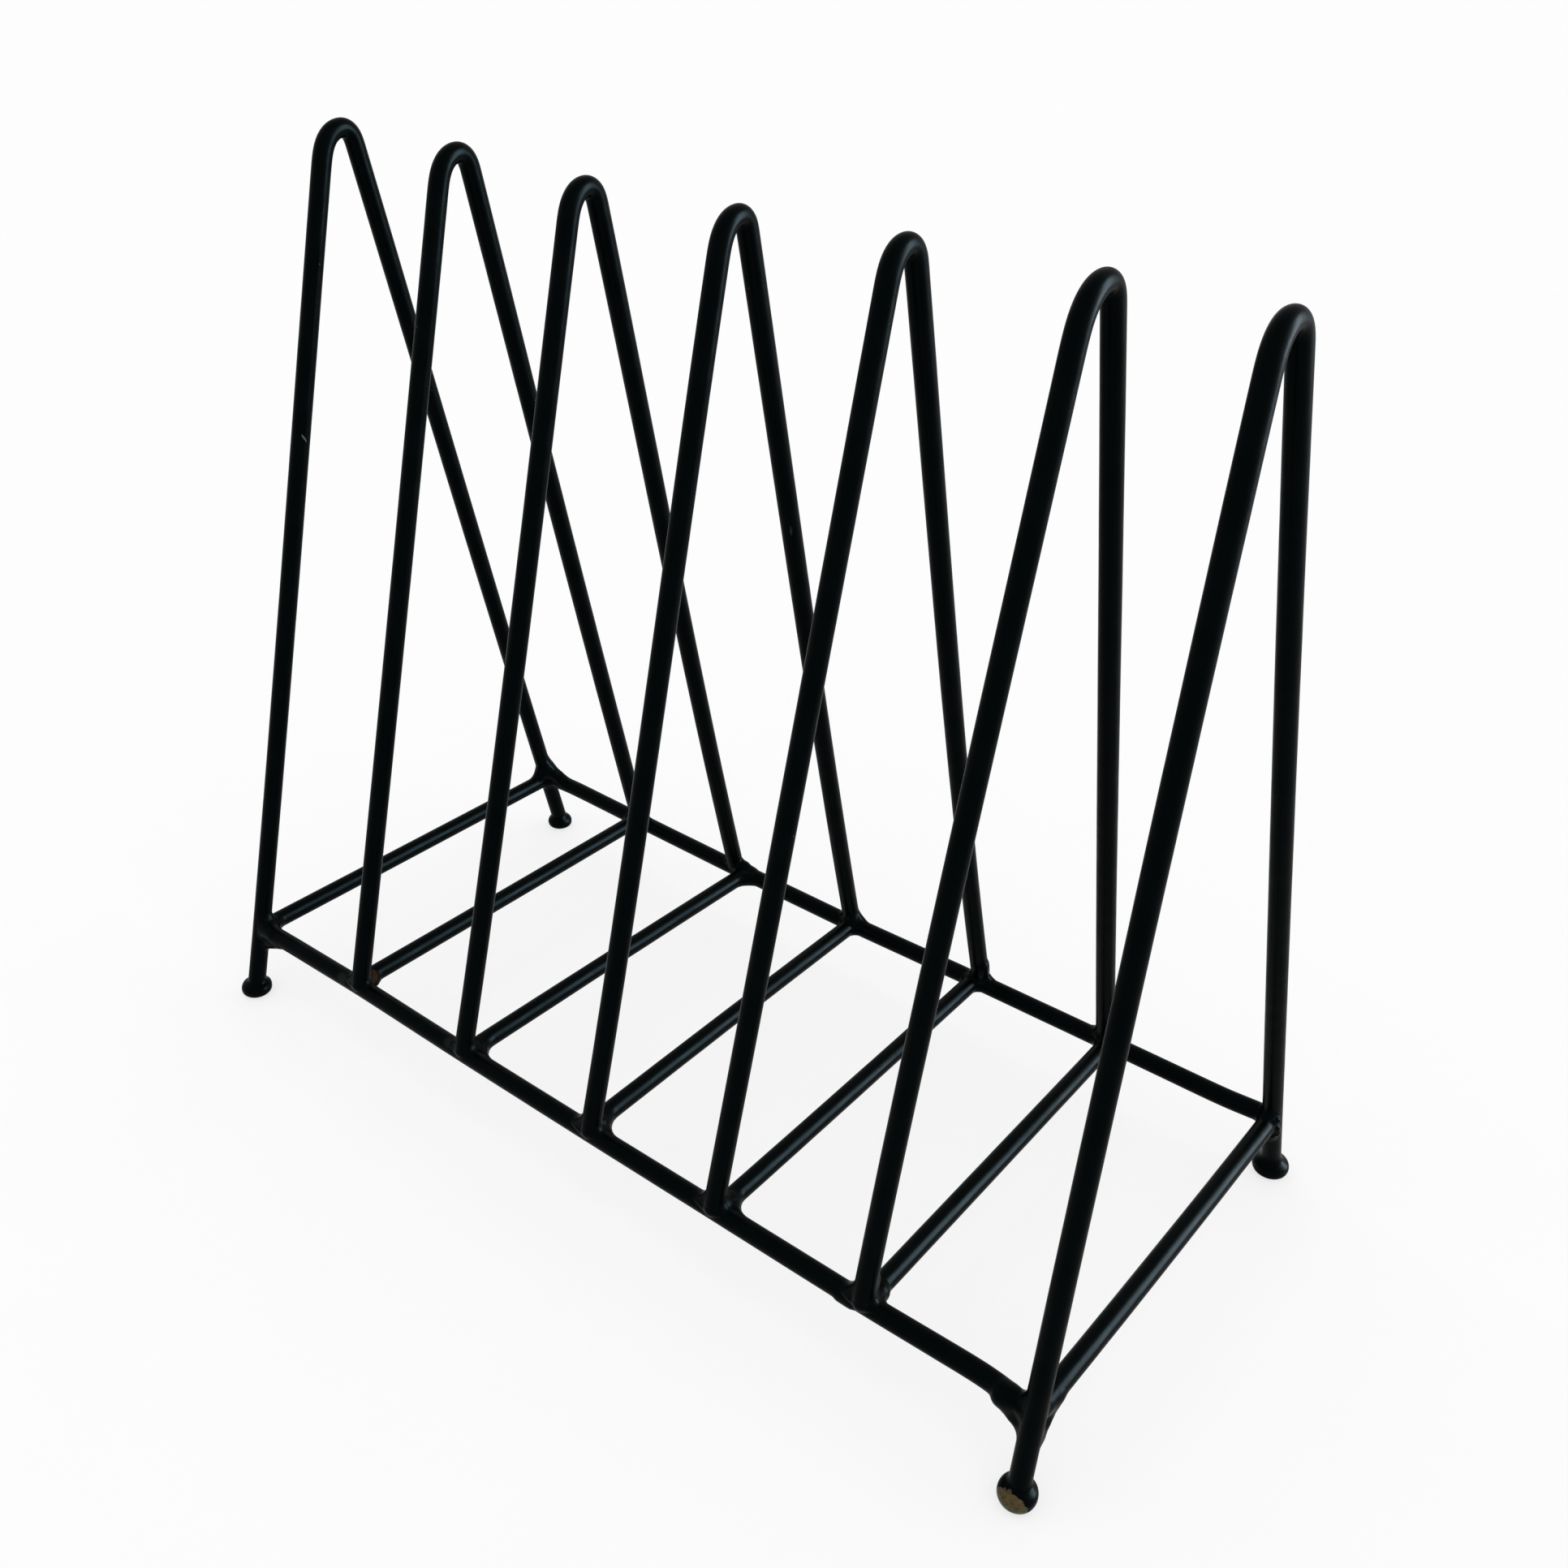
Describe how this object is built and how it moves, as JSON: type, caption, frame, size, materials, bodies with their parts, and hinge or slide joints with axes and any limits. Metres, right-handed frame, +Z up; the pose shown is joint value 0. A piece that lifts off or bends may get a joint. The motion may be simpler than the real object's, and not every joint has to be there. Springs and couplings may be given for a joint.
{
  "type": "record storage stand",
  "caption": "Low welded rod rack with narrow hairpin dividers on two rails, for standing records on edge; round button feet.",
  "frame": {"origin": "middle of the box on the surface it stands on", "axes": "+X along the rack over its dividers, +Y to the back, +Z up"},
  "size_m": [0.3806, 0.1839, 0.335],
  "materials": {
    "rod_enamel": "thick black brushed enamel over round steel rod, satin gloss",
    "weld_enamel": "black enamel over a rounded weld bead",
    "foot_enamel": "black enamel over a brass button, worn bare in one patch on the front right foot"
  },
  "bodies": {
    "root": {"divider_1": "rod_enamel", "divider_2": "rod_enamel", "divider_3": "rod_enamel", "divider_4": "rod_enamel", "divider_5": "rod_enamel", "divider_6": "rod_enamel", "divider_7": "rod_enamel", "cross_rod_1": "rod_enamel", "cross_rod_2": "rod_enamel", "cross_rod_3": "rod_enamel", "cross_rod_4": "rod_enamel", "cross_rod_5": "rod_enamel", "cross_rod_6": "rod_enamel", "cross_rod_7": "rod_enamel", "front_rail": "rod_enamel", "back_rail": "rod_enamel", "foot_front_left": "foot_enamel", "foot_back_left": "foot_enamel", "foot_front_right": "foot_enamel", "foot_back_right": "foot_enamel", "weld_front_1": "weld_enamel", "weld_front_2": "weld_enamel", "weld_front_3": "weld_enamel", "weld_front_4": "weld_enamel", "weld_front_5": "weld_enamel", "weld_front_6": "weld_enamel", "weld_front_7": "weld_enamel", "weld_back_1": "weld_enamel", "weld_back_2": "weld_enamel", "weld_back_3": "weld_enamel", "weld_back_4": "weld_enamel", "weld_back_5": "weld_enamel", "weld_back_6": "weld_enamel", "weld_back_7": "weld_enamel"}
  },
  "joints": []
}
